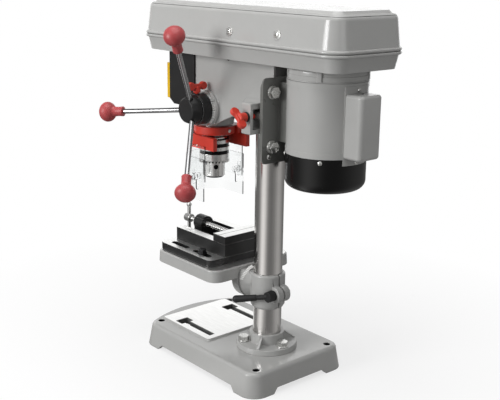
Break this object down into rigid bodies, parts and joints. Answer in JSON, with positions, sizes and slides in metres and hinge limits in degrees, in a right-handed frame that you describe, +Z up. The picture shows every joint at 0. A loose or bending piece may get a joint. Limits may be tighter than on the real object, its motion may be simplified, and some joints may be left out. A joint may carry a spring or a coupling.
{
  "type": "benchtop drill press",
  "caption": "Benchtop drill press: column, tilting table with vice, rack-fed quill, key chuck with swing guard, stepped pulleys under a hinged lid and a sliding motor.",
  "frame": {"origin": "middle of the four bench holes, on the bench", "axes": "+Z up, the operator stands at -Y, feed handles at +X, motor at +Y"},
  "size_m": [0.2607, 0.4704, 0.5883],
  "materials": {
    "paint": "warm light grey enamel on cast iron and steel",
    "sheet_paint": "warm light grey enamel on pressed sheet",
    "zinc": "zinc-plated fasteners",
    "column_steel": "ground steel tube",
    "rubber": "V belt",
    "bearing_steel": "ball bearings, drawn as plain rings",
    "spring_steel": "blued spring strip",
    "scale_metal": "printed depth scale ring",
    "machined_steel": "turned steel",
    "chuck_steel": "ground chuck steel",
    "hardened_steel": "hardened jaw steel",
    "chrome_rod": "bright plated rods",
    "cast_aluminium": "cast and turned pulleys",
    "dark_plate": "dark grey steel plate",
    "vice_iron": "black finished cast iron",
    "black_plastic": "black moulded plastic",
    "red_plastic": "orange-red moulded plastic",
    "knob_plastic": "softer red knobs",
    "yellow_plastic": "yellow switch cover",
    "green_plastic": "green start button",
    "pale_plastic": "moulded fan",
    "clear_plastic": "clear polycarbonate"
  },
  "bodies": {
    "stand": {"base": "paint", "column_flange": "paint", "flange_bolts": "zinc", "column": "column_steel", "head_casting": "paint", "belt_pan": "sheet_paint", "v_belt": "rubber", "pulley_bearings": "bearing_steel", "spring_cap": "black_plastic", "return_spring": "spring_steel", "feed_scale": "scale_metal", "switch_box": "black_plastic", "hinge_pins": "zinc"},
    "lid": {"belt_lid": "sheet_paint"},
    "upper_pulley": {"spindle_pulley": "cast_aluminium"},
    "quill": {"quill": "machined_steel", "quill_bearings": "bearing_steel", "guard_ring": "red_plastic"},
    "guard": {"guard_frame": "red_plastic", "guard_panel": "clear_plastic"},
    "visor": {"guard_visor": "clear_plastic"},
    "nut_right": {"guard_nut_right": "clear_plastic"},
    "nut_left": {"guard_nut_left": "clear_plastic"},
    "spindle": {"spindle": "machined_steel", "chuck_body": "chuck_steel"},
    "sleeve": {"chuck_sleeve": "chuck_steel"},
    "jaw_1": {"chuck_jaw_1": "hardened_steel"},
    "jaw_2": {"chuck_jaw_2": "hardened_steel"},
    "jaw_3": {"chuck_jaw_3": "hardened_steel"},
    "feed": {"feed_shaft": "machined_steel", "feed_hub": "black_plastic", "feed_rods": "chrome_rod", "feed_knobs": "knob_plastic"},
    "depth_stop": {"depth_ring": "black_plastic"},
    "depth_lock": {"depth_lock": "red_plastic"},
    "motor": {"motor_shell": "paint", "motor_bell": "paint", "fan_cover": "black_plastic", "capacitor_box": "paint", "motor_plate": "dark_plate", "motor_slide": "dark_plate", "motor_bolts": "zinc"},
    "rotor": {"rotor_shaft": "machined_steel", "motor_pulley": "cast_aluminium", "cooling_fan": "pale_plastic"},
    "tension": {"tension_screw": "red_plastic"},
    "bracket": {"table_bracket": "paint", "clamp_bolt": "zinc"},
    "lever": {"clamp_lever": "black_plastic"},
    "table": {"table": "paint", "tilt_bolt": "zinc", "vice_body": "vice_iron", "vice_bolts": "zinc"},
    "vice_jaw": {"vice_jaw": "vice_iron"},
    "vice_screw": {"vice_screw": "machined_steel"},
    "vice_bar": {"vice_bar": "machined_steel"},
    "flap": {"switch_flap": "yellow_plastic"},
    "stop": {"stop_button": "red_plastic"},
    "start": {"start_button": "green_plastic"}
  },
  "joints": [
    {"name": "lid_hinge", "type": "hinge", "parent": "stand", "child": "lid", "pos_m": [-0.077, 0.0425, 0.533], "axis": [0, -1, 0], "range_deg": [0, 100]},
    {"name": "feed_turn", "type": "hinge", "parent": "stand", "child": "feed", "pos_m": [0.072, -0.04825, 0.421], "axis": [1, 0, 0], "range_deg": [0, 327.4], "stiffness_Nm_per_rad": 0.15, "springref_deg": -114.59},
    {"name": "quill_feed", "type": "slide", "parent": "stand", "child": "quill", "axis": [0, 0, -1], "range_m": [0, 0.05]},
    {"name": "motor_spin", "type": "hinge", "parent": "motor", "child": "rotor", "pos_m": [0, 0.184, 0.43], "axis": [0, 0, 1], "continuous": true},
    {"name": "pulley_spin", "type": "hinge", "parent": "stand", "child": "upper_pulley", "pos_m": [0, -0.076, 0.53], "axis": [0, 0, 1], "continuous": true},
    {"name": "spindle_spin", "type": "hinge", "parent": "quill", "child": "spindle", "pos_m": [0, -0.076, 0.4], "axis": [0, 0, 1], "continuous": true},
    {"name": "jaw_1_grip", "type": "slide", "parent": "spindle", "child": "jaw_1", "axis": [-0.2756, 0, -0.9613], "range_m": [0, 0.017]},
    {"name": "jaw_2_grip", "type": "slide", "parent": "spindle", "child": "jaw_2", "axis": [0.1378, -0.2387, -0.9613], "range_m": [0, 0.017]},
    {"name": "jaw_3_grip", "type": "slide", "parent": "spindle", "child": "jaw_3", "axis": [0.1378, 0.2387, -0.9613], "range_m": [0, 0.017]},
    {"name": "sleeve_turn", "type": "hinge", "parent": "spindle", "child": "sleeve", "pos_m": [0, -0.076, 0.34], "axis": [0, 0, 1], "continuous": true},
    {"name": "guard_swing", "type": "hinge", "parent": "quill", "child": "guard", "pos_m": [-0.0347, -0.063, 0.36], "axis": [0, 0, 1], "range_deg": [-55, 0]},
    {"name": "visor_height", "type": "slide", "parent": "guard", "child": "visor", "axis": [0, 0, 1], "range_m": [0, 0.02]},
    {"name": "visor_nut_right", "type": "hinge", "parent": "guard", "child": "nut_right", "pos_m": [0.045, -0.0685, 0.3055], "axis": [1, 0, 0], "range_deg": [-90, 90]},
    {"name": "visor_nut_left", "type": "hinge", "parent": "guard", "child": "nut_left", "pos_m": [-0.045, -0.0685, 0.3055], "axis": [1, 0, 0], "range_deg": [-90, 90]},
    {"name": "depth_set", "type": "hinge", "parent": "feed", "child": "depth_stop", "pos_m": [0.0555, -0.04825, 0.421], "axis": [-1, 0, 0], "range_deg": [0, 180]},
    {"name": "depth_clamp", "type": "hinge", "parent": "depth_stop", "child": "depth_lock", "pos_m": [0.058, -0.04825, 0.455], "axis": [0, 0, 1], "range_deg": [0, 90]},
    {"name": "belt_slack", "type": "slide", "parent": "stand", "child": "motor", "axis": [0, 1, 0], "range_m": [-0.0055, 0]},
    {"name": "tension_clamp", "type": "hinge", "parent": "stand", "child": "tension", "pos_m": [0.09, 0.099, 0.431], "axis": [1, 0, 0], "range_deg": [0, 180]},
    {"name": "table_height", "type": "slide", "parent": "stand", "child": "bracket", "axis": [0, 0, -1], "range_m": [-0.025, 0.04]},
    {"name": "height_clamp", "type": "hinge", "parent": "bracket", "child": "lever", "pos_m": [0.0265, 0.092, 0.1355], "axis": [1, 0, 0], "range_deg": [-45, 45]},
    {"name": "table_tilt", "type": "hinge", "parent": "bracket", "child": "table", "pos_m": [0, 0.03, 0.148], "axis": [0, 1, 0], "range_deg": [-45, 45]},
    {"name": "vice_open", "type": "slide", "parent": "table", "child": "vice_jaw", "axis": [0, -1, 0], "range_m": [0, 0.055]},
    {"name": "vice_turn", "type": "hinge", "parent": "vice_jaw", "child": "vice_screw", "pos_m": [0, -0.1, 0.2085], "axis": [0, 1, 0], "range_deg": [-10, 4960]},
    {"name": "vice_bar_slip", "type": "slide", "parent": "vice_screw", "child": "vice_bar", "axis": [0, 0, 1], "range_m": [-0.012, 0.012]},
    {"name": "flap_lift", "type": "hinge", "parent": "stand", "child": "flap", "pos_m": [0, -0.154, 0.489], "axis": [-1, 0, 0], "range_deg": [0, 55]},
    {"name": "stop_press", "type": "slide", "parent": "flap", "child": "stop", "axis": [0, 1, 0], "range_m": [0, 0.004], "stiffness_N_per_m": 600},
    {"name": "start_press", "type": "slide", "parent": "stand", "child": "start", "axis": [0, 1, 0], "range_m": [0, 0.004], "stiffness_N_per_m": 600}
  ],
  "couplings": [
    {"joint": "quill_feed", "follows": "feed_turn", "m_per_rad": 0.00875},
    {"joint": "pulley_spin", "follows": "motor_spin", "ratio": 1},
    {"joint": "spindle_spin", "follows": "motor_spin", "ratio": 1},
    {"joint": "jaw_2_grip", "follows": "jaw_1_grip", "ratio": 1},
    {"joint": "jaw_3_grip", "follows": "jaw_1_grip", "ratio": 1},
    {"joint": "vice_turn", "follows": "vice_open", "rad_per_m": 1570.8}
  ]
}
